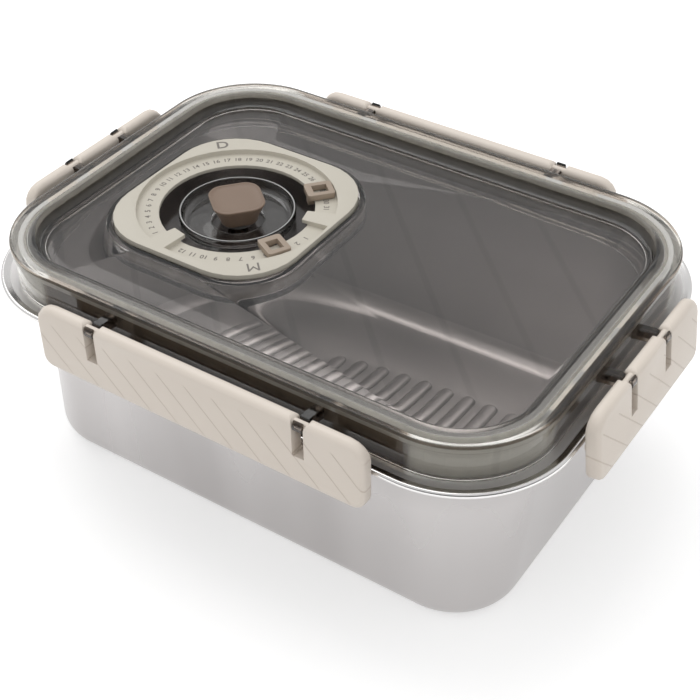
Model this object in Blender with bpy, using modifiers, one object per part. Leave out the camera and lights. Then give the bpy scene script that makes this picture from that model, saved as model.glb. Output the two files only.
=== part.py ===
"""Rectangular stainless steel food container with a clear lid.

The lid has a recessed panel with a date dial and a vent plug, and it is held
by four latches that swing on hooks of the lid and catch under the rolled edge
of the steel tub. Metres, +Z up, +X along the long side, -Y the front.
"""

import math

import bmesh
import bpy
from mathutils import Matrix

MM = 0.001

# Driving dimensions of the tub. Offsets are measured outwards from the lid's
# top edge, a rounded rectangle that every section of tub and lid follows.
EDGE_HALF_LENGTH = 100.0 * MM
EDGE_HALF_WIDTH = 71.0 * MM
EDGE_CORNER = 32.0 * MM
TUB_HEIGHT = 68.8 * MM
STEEL_THICKNESS = 0.7 * MM
FLANGE_OFFSET = 6.5 * MM
MOUTH_OFFSET = -4.3 * MM
MOUTH_CORNER = 35.0 * MM
FLOOR_OFFSET = -7.1 * MM
FLOOR_CORNER = 23.5 * MM
FLOOR_FILLET = 7.0 * MM
MOUTH_FILLET = 2.0 * MM
CURL_RADIUS = 1.0 * MM
CURL_RISE = 1.2 * MM
CURL_SHOULDER = 2.6 * MM
RIB_COUNT = 14
RIB_PITCH = 9.65 * MM
RIB_HALF_LENGTH = 34.0 * MM
RIB_HALF_WIDTH = 2.7 * MM
RIB_HEIGHT = 1.2 * MM
RIB_DRAFT = 0.8 * MM

# Driving dimensions of the lid and the gasket.
LID_RISE = 14.7 * MM
LID_WALL = 2.2 * MM
LIP_OFFSET = 1.5 * MM
LIP_HEIGHT = 2.7 * MM
LIP_ROUNDING = 1.0 * MM
SKIRT_OFFSET = 0.5 * MM
SKIRT_WALL = 2.0 * MM
BAND_WIDTH = 6.0 * MM
PANEL_DEPTH = 4.5 * MM
PANEL_FILLET = 3.2 * MM
PANEL_SHOULDER = 1.4 * MM
GUIDE_OFFSET = -5.9 * MM
GUIDE_WALL = 2.0 * MM
GUIDE_DEPTH = 16.4 * MM
GASKET_BODY_DEPTH = 10.0 * MM
GASKET_BEAD_WIDTH = 2.1 * MM

# Driving dimensions of the dial well, the plate, the vent and the sliders.
DIAL_FROM_SIDE = 55.7 * MM
DIAL_X = DIAL_FROM_SIDE - EDGE_HALF_LENGTH
PLATE_HALF_LENGTH = 36.0 * MM
PLATE_HALF_WIDTH = 37.8 * MM
PLATE_CORNER = 22.2 * MM
PLATE_THICKNESS = 1.4 * MM
PLATE_WALL = 1.8 * MM
PLATE_TOP_DEPTH = 3.3 * MM
NUMBER_RING_SINK = 1.9 * MM
NUMBER_RING_RADIUS = 35.0 * MM
WELL_GAP = 0.5 * MM
WELL_FLOOR_DEPTH = 11.5 * MM
WELL_WALL = 2.0 * MM
HOLE_RADIUS = 27.2 * MM
TAB_RADIUS = 25.2 * MM
TAB_THICKNESS = 1.5 * MM
CUP_RADIUS = 20.5 * MM
CUP_WALL = 1.3 * MM
CUP_RIM_DEPTH = 5.6 * MM
CUP_RIM_WIDTH = 1.5 * MM
CUP_FLOOR = 1.3 * MM
CUP_BORE = 9.4 * MM
SEAL_RADIUS = 5.6 * MM
SEAL_THICKNESS = 1.2 * MM
KNOB_HALF = 9.2 * MM
KNOB_CORNER = 5.6 * MM
KNOB_BASE_HALF = 6.4 * MM
KNOB_TOP_DEPTH = 1.4 * MM
STEM_RADIUS = 3.0 * MM
BARB_RADIUS = 4.0 * MM
BARB_HEIGHT = 1.3 * MM
KNOB_LIFT = 3.0 * MM
SLIDER_WIDTH = 8.4 * MM
SLIDER_THICKNESS = 2.2 * MM
SLIDER_REACH = 7.2 * MM
SLIDER_BORDER = 2.0 * MM
FOOT_WIDTH = 2.8 * MM
FOOT_THICKNESS = 1.1 * MM
FOOT_REACH = 2.0 * MM
SLIDER_LEG = 2.2 * MM

# Driving dimensions of the latches and the hooks that carry them.
PIVOT_OFFSET = 9.4 * MM
PIVOT_DEPTH = 4.1 * MM
LATCH_RADIUS = 2.4 * MM
LATCH_DROP = 22.0 * MM
LATCH_TOP_CORNER = 6.5 * MM
LATCH_CORNER = 4.0 * MM
LATCH_FRONT_ROUNDING = 1.6 * MM
LATCH_BACK_ROUNDING = 0.5 * MM
LATCH_WALL = 2.4 * MM
LONG_LATCH_HALF = 62.0 * MM
SHORT_LATCH_HALF = 36.0 * MM
LONG_HOOK_X = 39.5 * MM
SHORT_HOOK_X = 12.3 * MM
NOTCH_DROP = 11.4 * MM
BAR_RADIUS = 1.2 * MM
HOOK_WALL = 1.1 * MM
HOOK_WIDTH = 3.4 * MM
CATCH_THICKNESS = 2.0 * MM
CATCH_GRIP = 1.6 * MM
RIB_WALL = 1.2 * MM

# Clearances between pieces that touch on the real object.
GAP = 0.3 * MM
RUN_GAP = 0.4 * MM

# Angles of the dial, counter-clockwise from +X. Days run over the far corner
# of the plate and months along the near one, and two tabs part their arcs.
DAY_MIDDLE = 135.8
TAB_FROM_MIDDLE = 121.0
TAB_HALF_ANGLE = 6.4
DAY_SLIDER_ANGLE = 48.5
MONTH_SLIDER_ANGLE = 332.0
KNOB_TURN = -41.0
HOOK_OPENING = 95.0
HOOK_LEAN = 12.5
RIGHT_LATCH_AJAR = 7.0

CORNER_STEPS = 8
LATCH_STEPS = 10
LATCH_CORNER_STEPS = 4

# Shape of the knob from its base to its top: share of the flare, share of the
# height.
KNOB_SHAPE = ((-0.2, 0.0), (0.0, 0.08), (0.45, 0.5), (0.85, 0.82), (1.0, 0.92), (0.9, 1.0))

# Heights that follow from the dimensions above.
LID_TOP = TUB_HEIGHT + LID_RISE
PANEL_TOP = LID_TOP - PANEL_DEPTH
PLATE_TOP = LID_TOP - PLATE_TOP_DEPTH
NUMBER_RING_TOP = PLATE_TOP - NUMBER_RING_SINK
PLATE_UNDERSIDE = NUMBER_RING_TOP - PLATE_THICKNESS
WELL_FLOOR = LID_TOP - WELL_FLOOR_DEPTH
WELL_UNDERSIDE = WELL_FLOOR - WELL_WALL
CUP_UNDERSIDE = WELL_FLOOR + GAP
CUP_FLOOR_TOP = CUP_UNDERSIDE + CUP_FLOOR
PIVOT_HEIGHT = LID_TOP - PIVOT_DEPTH
CURL_HEIGHT = TUB_HEIGHT + CURL_RISE - CURL_RADIUS
FLANGE_LOWEST = CURL_HEIGHT - CURL_RADIUS
HOOK_RADIUS = BAR_RADIUS + GAP
NOTCH_WIDTH = HOOK_WIDTH + 2 * RUN_GAP


def start_collection(name):
    """Make a collection of the scene and return it."""
    collection = bpy.data.collections.new(name)
    bpy.context.scene.collection.children.link(collection)
    return collection


for old_object in list(bpy.data.objects):
    bpy.data.objects.remove(old_object, do_unlink=True)

container = start_collection("food_container")
cutters = start_collection("cutters")


def make_material(name, colour, roughness, metallic=0.0, alpha=1.0):
    """Principled material of one part."""
    material = bpy.data.materials.new(name)
    material.use_nodes = True
    shader = material.node_tree.nodes["Principled BSDF"]
    shader.inputs["Base Color"].default_value = (*colour, 1.0)
    shader.inputs["Roughness"].default_value = roughness
    shader.inputs["Metallic"].default_value = metallic
    shader.inputs["Alpha"].default_value = alpha
    return material


def add_object(name, mesh, material):
    """Put a mesh in the container's collection, smooth but for its edges."""
    piece = bpy.data.objects.new(name, mesh)
    container.objects.link(piece)
    mesh.materials.clear()
    mesh.materials.append(material)
    mesh.shade_smooth()
    mesh.set_sharp_from_angle(angle=math.radians(35))
    return piece


def add_cutter(name, mesh):
    """Put a mesh among the cutters, which are guides and not parts."""
    cutter = bpy.data.objects.new(name, mesh)
    cutters.objects.link(cutter)
    cutter.hide_render = True
    cutter.display_type = 'WIRE'
    return cutter


def combine(piece, other, operation):
    """Boolean modifier on a piece with one of the cutters."""
    modifier = piece.modifiers.new(operation.title() + " " + other.name, 'BOOLEAN')
    modifier.operation = operation
    modifier.solver = 'EXACT'
    modifier.object = other
    return modifier


def settle(piece):
    """Apply a piece's modifiers, for a shape that is copied or cut again."""
    graph = bpy.context.evaluated_depsgraph_get()
    mesh = bpy.data.meshes.new_from_object(piece.evaluated_get(graph))
    mesh.name = piece.name
    piece.modifiers.clear()
    piece.data = mesh


def rounded_rectangle(half_x, half_y, corner, steps=CORNER_STEPS):
    """Outline points, counter-clockwise seen from above."""
    points = []
    for turn, (side_x, side_y) in enumerate(((1, 1), (-1, 1), (-1, -1), (1, -1))):
        centre_x = side_x * (half_x - corner)
        centre_y = side_y * (half_y - corner)
        for step in range(steps + 1):
            angle = math.radians(90 * (turn + step / steps))
            points.append((centre_x + corner * math.cos(angle), centre_y + corner * math.sin(angle)))
    return points


def edge_section(offset, height, corner=None):
    """The lid's edge outline, grown by an offset, at one height."""
    radius = EDGE_CORNER + offset if corner is None else corner
    outline = rounded_rectangle(EDGE_HALF_LENGTH + offset, EDGE_HALF_WIDTH + offset, radius)
    return [(x, y, height) for x, y in outline]


def arc(centre, radius, start, end, steps):
    """Points of an arc in a profile, angles in degrees."""
    angles = [math.radians(start + (end - start) * step / steps) for step in range(steps + 1)]
    return [(centre[0] + radius * math.cos(a), centre[1] + radius * math.sin(a)) for a in angles]


def skin(bm, sections, closed=False):
    """Skin neighbouring sections that have the same number of points."""
    rings = [[bm.verts.new(point) for point in section] for section in sections]
    pairs = list(zip(rings, rings[1:]))
    if closed:
        pairs.append((rings[-1], rings[0]))
    for first, second in pairs:
        for index in range(len(first)):
            following = (index + 1) % len(first)
            bm.faces.new((first[index], first[following], second[following], second[index]))
    return rings


def loft(name, sections, closed=False):
    """Closed solid through sections: a ring if closed, else with flat ends."""
    bm = bmesh.new()
    rings = skin(bm, sections, closed)
    if not closed:
        bm.faces.new(reversed(rings[0]))
        bm.faces.new(rings[-1])
    bmesh.ops.recalc_face_normals(bm, faces=bm.faces)
    mesh = bpy.data.meshes.new(name)
    bm.to_mesh(mesh)
    bm.free()
    return mesh


def plate_solid(name, outlines, bottom, top):
    """Flat outline with its holes, extruded between two heights."""
    curve = bpy.data.curves.new(name, 'CURVE')
    curve.dimensions = '2D'
    curve.fill_mode = 'BOTH'
    curve.extrude = (top - bottom) / 2
    for outline in outlines:
        spline = curve.splines.new('POLY')
        spline.points.add(len(outline) - 1)
        for point, (x, y) in zip(spline.points, outline):
            point.co = (x, y, 0.0, 1.0)
        spline.use_cyclic_u = True
    drawing = bpy.data.objects.new(name, curve)
    cutters.objects.link(drawing)
    drawing.location.z = (top + bottom) / 2
    graph = bpy.context.evaluated_depsgraph_get()
    mesh = bpy.data.meshes.new_from_object(drawing.evaluated_get(graph))
    mesh.transform(Matrix.Translation(drawing.location))
    bpy.data.objects.remove(drawing, do_unlink=True)
    bpy.data.curves.remove(curve)
    bm = bmesh.new()
    bm.from_mesh(mesh)
    bmesh.ops.remove_doubles(bm, verts=bm.verts, dist=0.001 * MM)
    bmesh.ops.recalc_face_normals(bm, faces=bm.faces)
    bm.to_mesh(mesh)
    bm.free()
    return mesh


def side_solid(name, profile, half_width):
    """Profile of points (outwards, up), extruded along X about the origin.

    Outwards is -Y, as on the front of the container.
    """
    mesh = plate_solid(name, [profile], -half_width, half_width)
    stand_up = Matrix(((0, 0, 1, 0), (-1, 0, 0, 0), (0, 1, 0, 0), (0, 0, 0, 1)))
    mesh.transform(stand_up)
    bm = bmesh.new()
    bm.from_mesh(mesh)
    bmesh.ops.recalc_face_normals(bm, faces=bm.faces)
    bm.to_mesh(mesh)
    bm.free()
    return mesh


def box_mesh(name, boxes):
    """Separate boxes, each given by its low and its high corner."""
    bm = bmesh.new()
    for low, high in boxes:
        size = [b - a for a, b in zip(low, high)]
        middle = [(a + b) / 2 for a, b in zip(low, high)]
        place = Matrix.Translation(middle) @ Matrix.Diagonal((*size, 1))
        bmesh.ops.create_cube(bm, size=1, matrix=place)
    mesh = bpy.data.meshes.new(name)
    bm.to_mesh(mesh)
    bm.free()
    return mesh


def rod_mesh(name, radius, length, places, steps=16):
    """Round bars along X, one centred on each place."""
    bm = bmesh.new()
    for place in places:
        lie_down = Matrix.Translation(place) @ Matrix.Rotation(math.radians(90), 4, 'Y')
        bmesh.ops.create_cone(bm, cap_ends=True, segments=steps, radius1=radius, radius2=radius,
                              depth=length, matrix=lie_down)
    mesh = bpy.data.meshes.new(name)
    bm.to_mesh(mesh)
    bm.free()
    return mesh


def cone_mesh(name, low_radius, high_radius, low, high):
    """Round solid about Z between two heights."""
    bm = bmesh.new()
    bmesh.ops.create_cone(bm, cap_ends=True, segments=24, radius1=low_radius, radius2=high_radius,
                          depth=high - low, matrix=Matrix.Translation((0, 0, (low + high) / 2)))
    mesh = bpy.data.meshes.new(name)
    bm.to_mesh(mesh)
    bm.free()
    return mesh


def turned_object(name, profile, material, steps=40):
    """Closed profile of points (radius, height) turned about Z."""
    mesh = bpy.data.meshes.new(name)
    points = [(radius, 0.0, height) for radius, height in profile]
    edges = [(index, (index + 1) % len(points)) for index in range(len(points))]
    mesh.from_pydata(points, edges, [])
    piece = add_object(name, mesh, material)
    screw = piece.modifiers.new("Turn", 'SCREW')
    screw.steps = steps
    screw.render_steps = steps
    screw.use_merge_vertices = True
    screw.merge_threshold = 0.00001
    screw.use_smooth_shade = True
    return piece


# Tub: one steel sheet. Its outer face runs from the floor round the fillet,
# up the tapered wall, over the mouth and out to the curled edge.
steel = make_material("stainless_steel", (0.72, 0.71, 0.69), 0.28, metallic=1.0)


def tub_sections():
    """Outer face of the sheet, from the floor's edge to the end of the curl."""
    fillet_centre = (FLOOR_OFFSET - FLOOR_FILLET, FLOOR_FILLET)
    mouth_centre = (MOUTH_OFFSET + MOUTH_FILLET, TUB_HEIGHT - STEEL_THICKNESS - MOUTH_FILLET)
    curl_centre = (FLANGE_OFFSET - CURL_RADIUS, CURL_HEIGHT)
    flat_end = FLANGE_OFFSET - CURL_RADIUS - CURL_SHOULDER
    sections = []
    for offset, height in arc(fillet_centre, FLOOR_FILLET, -90, 0, 5):
        sections.append(edge_section(offset, height, FLOOR_CORNER + offset - FLOOR_OFFSET))
    for offset, height in arc(mouth_centre, MOUTH_FILLET, 180, 90, 3):
        sections.append(edge_section(offset, height, MOUTH_CORNER + offset - MOUTH_OFFSET))
    sections.append(edge_section(flat_end, TUB_HEIGHT - STEEL_THICKNESS))
    for offset, height in arc(curl_centre, CURL_RADIUS - STEEL_THICKNESS, 120, -135, 5):
        sections.append(edge_section(offset, height))
    return sections


def rib_outline(centre_x, inset):
    """Pill-shaped outline across the floor, counter-clockwise."""
    radius = RIB_HALF_WIDTH - inset
    reach = RIB_HALF_LENGTH - RIB_HALF_WIDTH
    near = arc((centre_x, -reach), radius, 180, 360, 5)
    far = arc((centre_x, reach), radius, 0, 180, 5)
    return near + far


def build_tub():
    bm = bmesh.new()
    rings = skin(bm, tub_sections())
    border = rings[0]
    rim_edges = [bm.edges.get((border[i], border[(i + 1) % len(border)])) for i in range(len(border))]
    for number in range(RIB_COUNT):
        centre_x = (number - (RIB_COUNT - 1) / 2) * RIB_PITCH
        crest = [(x, y, RIB_HEIGHT) for x, y in rib_outline(centre_x, RIB_DRAFT)]
        foot = [(x, y, 0.0) for x, y in rib_outline(centre_x, 0.0)]
        top_ring, foot_ring = skin(bm, [crest, foot])
        bm.faces.new(reversed(top_ring))
        rim_edges += [bm.edges.get((foot_ring[i], foot_ring[(i + 1) % len(foot_ring)]))
                      for i in range(len(foot_ring))]
    floor = bmesh.ops.triangle_fill(bm, use_beauty=True, edges=rim_edges, normal=(0, 0, -1))
    bmesh.ops.recalc_face_normals(bm, faces=bm.faces)
    floor_face = next(item for item in floor["geom"] if isinstance(item, bmesh.types.BMFace))
    if floor_face.normal.z > 0:
        bmesh.ops.reverse_faces(bm, faces=bm.faces)
    mesh = bpy.data.meshes.new("tub")
    bm.to_mesh(mesh)
    bm.free()
    tub = add_object("tub", mesh, steel)
    sheet = tub.modifiers.new("Sheet thickness", 'SOLIDIFY')
    sheet.thickness = STEEL_THICKNESS
    sheet.offset = -1.0
    sheet.use_even_offset = True
    return tub


build_tub()

# Lid: one clear moulding. The section runs from the panel over the band, down
# the lip and the skirt, through the gasket channel and round the guide wall.
clear_plastic = make_material("smoky_clear_plastic", (0.30, 0.29, 0.28), 0.12, alpha=0.45)


def lid_sections():
    shoulder = (-BAND_WIDTH, LID_TOP - PANEL_SHOULDER)
    wall_offset = -BAND_WIDTH - PANEL_SHOULDER
    hollow = (wall_offset - PANEL_FILLET, PANEL_TOP + PANEL_FILLET)
    lip_middle = LID_TOP - LIP_ROUNDING
    skirt_bottom = TUB_HEIGHT + RUN_GAP
    ceiling = LID_TOP - LID_WALL
    guide_bottom = LID_TOP - GUIDE_DEPTH
    guide_inner = GUIDE_OFFSET - GUIDE_WALL
    panel_underside = PANEL_TOP - LID_WALL
    profile = arc(hollow, PANEL_FILLET, -90, -20, 3)
    profile += arc(shoulder, PANEL_SHOULDER, 180, 90, 3)
    profile += arc((LIP_OFFSET - LIP_ROUNDING, lip_middle), LIP_ROUNDING, 90, 0, 3)
    profile += [(LIP_OFFSET, LID_TOP - LIP_HEIGHT), (SKIRT_OFFSET, LID_TOP - LIP_HEIGHT)]
    profile += [(SKIRT_OFFSET, skirt_bottom), (SKIRT_OFFSET - SKIRT_WALL, skirt_bottom)]
    profile += [(SKIRT_OFFSET - SKIRT_WALL, ceiling), (GUIDE_OFFSET, ceiling)]
    sections = [edge_section(offset, height) for offset, height in profile]
    for offset in (GUIDE_OFFSET, guide_inner):
        sections.append(edge_section(offset, guide_bottom, MOUTH_CORNER + offset - MOUTH_OFFSET))
    sections.append(edge_section(guide_inner - RUN_GAP, panel_underside - LID_WALL / 2))
    sections.append(edge_section(guide_inner - LID_WALL, panel_underside))
    return sections


def hook_profile():
    """Arm from the skirt and an open ring round the hinge bar."""
    pivot = (PIVOT_OFFSET, PIVOT_HEIGHT)
    outer_radius = HOOK_RADIUS + HOOK_WALL
    tip = 90 + HOOK_LEAN - HOOK_OPENING / 2
    shoulder = tip + HOOK_OPENING
    root = SKIRT_OFFSET - SKIRT_WALL / 2
    root_top = LID_TOP - LIP_HEIGHT - LIP_ROUNDING
    root_bottom = PIVOT_HEIGHT - outer_radius - HOOK_WALL
    inside = arc(pivot, HOOK_RADIUS, shoulder, tip + 360, 10)
    outside = arc(pivot, outer_radius, tip, -110, 8)
    arm_top = arc(pivot, outer_radius, shoulder, shoulder, 1)[0]
    return [(root, root_top), (root, root_bottom)] + outside[::-1] + inside[::-1] + [arm_top]


def turned_places(half_spacing, reach, sides):
    """Turns that carry a shape of the front to the sides of the container."""
    places = []
    for side in sides:
        for hook_x in (-half_spacing, half_spacing):
            turn = Matrix.Rotation(math.radians(side), 4, 'Z')
            places.append(turn @ Matrix.Translation((hook_x, reach, 0.0)))
    return places


def build_hooks():
    hook = side_solid("hook", hook_profile(), HOOK_WIDTH / 2)
    bm = bmesh.new()
    places = turned_places(LONG_HOOK_X, -EDGE_HALF_WIDTH, (0, 180))
    places += turned_places(SHORT_HOOK_X, -EDGE_HALF_LENGTH, (90, 270))
    for place in places:
        copy = hook.copy()
        copy.transform(place)
        bm.from_mesh(copy)
    mesh = bpy.data.meshes.new("latch_hooks")
    bm.to_mesh(mesh)
    bm.free()
    return add_cutter("latch_hooks", mesh)


def dial_outline(growth):
    """Outline of the dial plate, grown all round, in the container's frame."""
    outline = rounded_rectangle(PLATE_HALF_LENGTH + growth, PLATE_HALF_WIDTH + growth,
                                PLATE_CORNER + growth)
    return [(x + DIAL_X, y) for x, y in outline]


def build_lid():
    lid = add_object("lid", loft("lid", lid_sections()), clear_plastic)
    block = plate_solid("well_block", [dial_outline(WELL_GAP + WELL_WALL)],
                        WELL_UNDERSIDE, PANEL_TOP - LID_WALL / 2)
    pocket = plate_solid("well_pocket", [dial_outline(WELL_GAP)], WELL_FLOOR, PANEL_TOP + LID_WALL)
    vent_radius = STEM_RADIUS + RUN_GAP
    vent = cone_mesh("vent_hole", vent_radius, vent_radius, -WELL_WALL, WELL_WALL)
    vent.transform(Matrix.Translation((DIAL_X, 0.0, WELL_UNDERSIDE)))
    combine(lid, add_cutter("well_block", block), 'UNION')
    combine(lid, add_cutter("well_pocket", pocket), 'DIFFERENCE')
    combine(lid, add_cutter("vent_hole", vent), 'DIFFERENCE')
    combine(lid, build_hooks(), 'UNION')
    return lid


build_lid()

# Gasket: silicone ring that fills the channel under the band. Its bead stands
# on the flange, between the guide wall and the skirt.
silicone = make_material("pale_silicone", (0.82, 0.81, 0.78), 0.5)


def gasket_sections():
    inner = GUIDE_OFFSET + GAP
    outer = SKIRT_OFFSET - SKIRT_WALL - GAP
    top = LID_TOP - LID_WALL - GAP
    body_bottom = top - GASKET_BODY_DEPTH
    bead_inner = outer - GASKET_BEAD_WIDTH
    bead_bottom = TUB_HEIGHT + GAP
    rounding = GASKET_BEAD_WIDTH / 2
    profile = [(inner, top), (inner, body_bottom), (bead_inner, body_bottom - rounding)]
    profile += arc((bead_inner + rounding, bead_bottom + rounding), rounding, 180, 360, 4)
    profile += [(outer, top)]
    return [edge_section(offset, height) for offset, height in profile]


add_object("gasket", loft("gasket", gasket_sections(), closed=True), silicone)

# Dial plate: an upturned tray that stands on the floor of the well. The ring
# with the numbers is sunk between two tabs, which also reach a little over the
# hole and stop the sliders.
cream = make_material("cream_plastic", (0.80, 0.74, 0.65), 0.45)


def at_angle(radius, degrees):
    """Point of the dial, from its centre."""
    angle = math.radians(degrees)
    return (DIAL_X + radius * math.cos(angle), radius * math.sin(angle))


def sector_angles():
    """Angles along the arc of the days and along the arc of the months."""
    arcs = []
    for middle, tab_distance, steps in ((DAY_MIDDLE, TAB_FROM_MIDDLE, 30),
                                        (DAY_MIDDLE + 180, 180 - TAB_FROM_MIDDLE, 14)):
        half_arc = tab_distance - TAB_HALF_ANGLE
        arcs.append([middle - half_arc + 2 * half_arc * step / steps for step in range(steps + 1)])
    return arcs


def ring_outline(radius):
    """Circle of the dial with a point at every step between the tabs."""
    return [at_angle(radius, angle) for angles in sector_angles() for angle in angles]


def number_ring_outlines():
    """Sunk sectors of the days and of the months, from tab to tab."""
    outlines = []
    for angles in sector_angles():
        outer = [at_angle(NUMBER_RING_RADIUS, angle) for angle in angles]
        inner = [at_angle(TAB_RADIUS - RUN_GAP, angle) for angle in reversed(angles)]
        outlines.append(outer + inner)
    return outlines


def build_dial_plate():
    plate = add_object("dial_plate",
                       plate_solid("dial_plate", [dial_outline(0.0), ring_outline(TAB_RADIUS)],
                                   WELL_FLOOR + GAP, PLATE_TOP),
                       cream)
    tray = plate_solid("tray_hollow", [dial_outline(-PLATE_WALL)], WELL_FLOOR - GAP, PLATE_UNDERSIDE)
    sunk = plate_solid("number_ring", number_ring_outlines(), NUMBER_RING_TOP, PLATE_TOP + GAP)
    hole = plate_solid("plate_hole", [ring_outline(HOLE_RADIUS)], WELL_FLOOR - GAP,
                       PLATE_TOP - TAB_THICKNESS)
    combine(plate, add_cutter("tray_hollow", tray), 'DIFFERENCE')
    combine(plate, add_cutter("number_ring", sunk), 'DIFFERENCE')
    combine(plate, add_cutter("plate_hole", hole), 'DIFFERENCE')
    return plate


build_dial_plate()

# Vent cup: clear turned dish on the floor of the well, with a thicker rim.
cup_plastic = make_material("clear_plastic", (0.55, 0.55, 0.54), 0.08, alpha=0.35)


def build_vent_cup():
    rim_top = LID_TOP - CUP_RIM_DEPTH
    inside = CUP_RADIUS - CUP_WALL
    bead = CUP_RIM_WIDTH / 2
    rim_middle = (CUP_RADIUS - CUP_WALL / 2, rim_top - bead)
    profile = [(CUP_BORE, CUP_FLOOR_TOP), (CUP_BORE, CUP_UNDERSIDE)]
    profile += [(CUP_RADIUS - CUP_WALL, CUP_UNDERSIDE), (CUP_RADIUS, CUP_UNDERSIDE + CUP_WALL)]
    profile += arc(rim_middle, bead, -45, 225, 6)
    profile += [(inside, CUP_FLOOR_TOP + CUP_WALL), (inside - CUP_WALL, CUP_FLOOR_TOP)]
    cup = turned_object("vent_cup", profile[::-1], cup_plastic)
    cup.location.x = DIAL_X
    return cup


build_vent_cup()

# Vent knob and seal: the knob is pulled up by its flared top and takes the
# silicone washer under it along. The barb under the lid ends its travel.
beige = make_material("beige_plastic", (0.52, 0.42, 0.34), 0.5)


def knob_sections(base, top):
    """Rounded squares that flare from the base and end in a softened rim."""
    sections = []
    for flare_share, height_share in KNOB_SHAPE:
        half = KNOB_BASE_HALF + (KNOB_HALF - KNOB_BASE_HALF) * flare_share
        corner = KNOB_CORNER * half / KNOB_HALF
        height = base + (top - base) * height_share
        sections.append([(x, y, height) for x, y in rounded_rectangle(half, half, corner, 5)])
    return sections


def build_vent():
    carrier = bpy.data.objects.new("vent_carrier", None)
    container.objects.link(carrier)
    carrier.location = (DIAL_X, 0.0, WELL_FLOOR)
    seal_bottom = GAP
    seal_top = seal_bottom + SEAL_THICKNESS
    base = seal_top + GAP
    top = WELL_FLOOR_DEPTH - KNOB_TOP_DEPTH
    bore = STEM_RADIUS + GAP
    chamfer = SEAL_THICKNESS / 3
    seal = turned_object("vent_seal", [(SEAL_RADIUS, seal_top), (SEAL_RADIUS, seal_bottom + chamfer),
                                       (SEAL_RADIUS - chamfer, seal_bottom),
                                       (bore, seal_bottom), (bore, seal_top)], silicone, steps=32)
    knob = add_object("vent_knob", loft("vent_knob", knob_sections(base, top)), beige)
    knob.rotation_euler.z = math.radians(KNOB_TURN)
    barb_top = -WELL_WALL - KNOB_LIFT - GAP
    barb_bottom = barb_top - BARB_HEIGHT
    stem = cone_mesh("knob_stem", STEM_RADIUS, STEM_RADIUS, barb_top - GAP, base + GAP)
    barb = cone_mesh("knob_barb", STEM_RADIUS - GAP, BARB_RADIUS, barb_bottom, barb_top)
    for mesh in (stem, barb):
        tool = add_cutter(mesh.name, mesh)
        tool.parent = carrier
        combine(knob, tool, 'UNION')
    knob.parent = carrier
    seal.parent = carrier


build_vent()

# Sliders: a frame over the plate, and a clip whose leg stands in the slot
# and whose foot holds under the edge of the hole.


def build_slider_mesh():
    inner = HOLE_RADIUS - RUN_GAP - SLIDER_LEG
    outer = HOLE_RADIUS + SLIDER_REACH
    half = SLIDER_WIDTH / 2
    bottom = NUMBER_RING_TOP + GAP
    top = bottom + SLIDER_THICKNESS
    window_start = inner + SLIDER_LEG + GAP
    window_half = half - SLIDER_BORDER
    rounding = SLIDER_BORDER / 2
    middle = (inner + outer) / 2
    frame_outline = [(x + middle, y) for x, y in
                     rounded_rectangle((outer - inner) / 2, half, rounding, 3)]
    window = [(window_start, -window_half), (outer - SLIDER_BORDER, -window_half),
              (outer - SLIDER_BORDER, window_half), (window_start, window_half)]
    frame = add_cutter("slider_frame", plate_solid("slider_frame", [frame_outline, window], bottom, top))
    foot_top = PLATE_UNDERSIDE - RUN_GAP
    foot_bottom = foot_top - FOOT_THICKNESS
    leg = ((inner + RUN_GAP, -FOOT_WIDTH / 2, foot_bottom),
           (inner + SLIDER_LEG, FOOT_WIDTH / 2, bottom + GAP))
    foot = ((inner + SLIDER_LEG - RUN_GAP, -FOOT_WIDTH / 2, foot_bottom),
            (HOLE_RADIUS + FOOT_REACH, FOOT_WIDTH / 2, foot_top))
    clip = add_cutter("slider_leg", box_mesh("slider_leg", [leg]))
    toe = add_cutter("slider_foot", box_mesh("slider_foot", [foot]))
    combine(frame, clip, 'UNION')
    combine(frame, toe, 'UNION')
    settle(frame)
    return frame.data


slider_mesh = build_slider_mesh()
for slider_name, slider_angle in (("day_slider", DAY_SLIDER_ANGLE), ("month_slider", MONTH_SLIDER_ANGLE)):
    slider = add_object(slider_name, slider_mesh.copy(), beige)
    slider.location.x = DIAL_X
    slider.rotation_euler.z = math.radians(slider_angle)

# Latches: moulded bars, hollow behind, with a rolled top round the hinge bar,
# two notches for the hooks and a catch that grips under the curled edge.


def softened(depth, rounding):
    """How far a rounded edge draws a wall in, at a depth from the face."""
    if depth >= rounding:
        return 0.0
    return rounding - math.sqrt(rounding ** 2 - (rounding - depth) ** 2)


def latch_sections(half_length):
    """Front outlines from the face to the back, pivot at the origin.

    Their tops follow the roll, and their sides and bottom the softened edges.
    """
    sections = []
    for step in range(LATCH_STEPS + 1):
        turn = math.radians(180 * step / LATCH_STEPS)
        depth = LATCH_RADIUS * (1 - math.cos(turn))
        drawn_in = softened(depth, LATCH_FRONT_ROUNDING)
        drawn_in += softened(2 * LATCH_RADIUS - depth, LATCH_BACK_ROUNDING)
        drawn_down = LATCH_RADIUS * (1 - math.sin(turn))
        outline = []
        for side_x, side_z, corner, drawn in ((1, 1, LATCH_TOP_CORNER, drawn_down),
                                              (-1, 1, LATCH_TOP_CORNER, drawn_down),
                                              (-1, -1, LATCH_CORNER, drawn_in),
                                              (1, -1, LATCH_CORNER, drawn_in)):
            edge = LATCH_RADIUS if side_z > 0 else -LATCH_DROP
            centre_x = side_x * (half_length - corner)
            centre_z = edge - side_z * corner
            start = len(outline) * 90 / (LATCH_CORNER_STEPS + 1)
            for point in range(LATCH_CORNER_STEPS + 1):
                angle = math.radians(start + 90 * point / LATCH_CORNER_STEPS)
                outline.append((centre_x + (corner - drawn_in) * math.cos(angle), depth - LATCH_RADIUS,
                                centre_z + (corner - drawn) * math.sin(angle)))
        sections.append(outline)
    return sections


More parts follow.
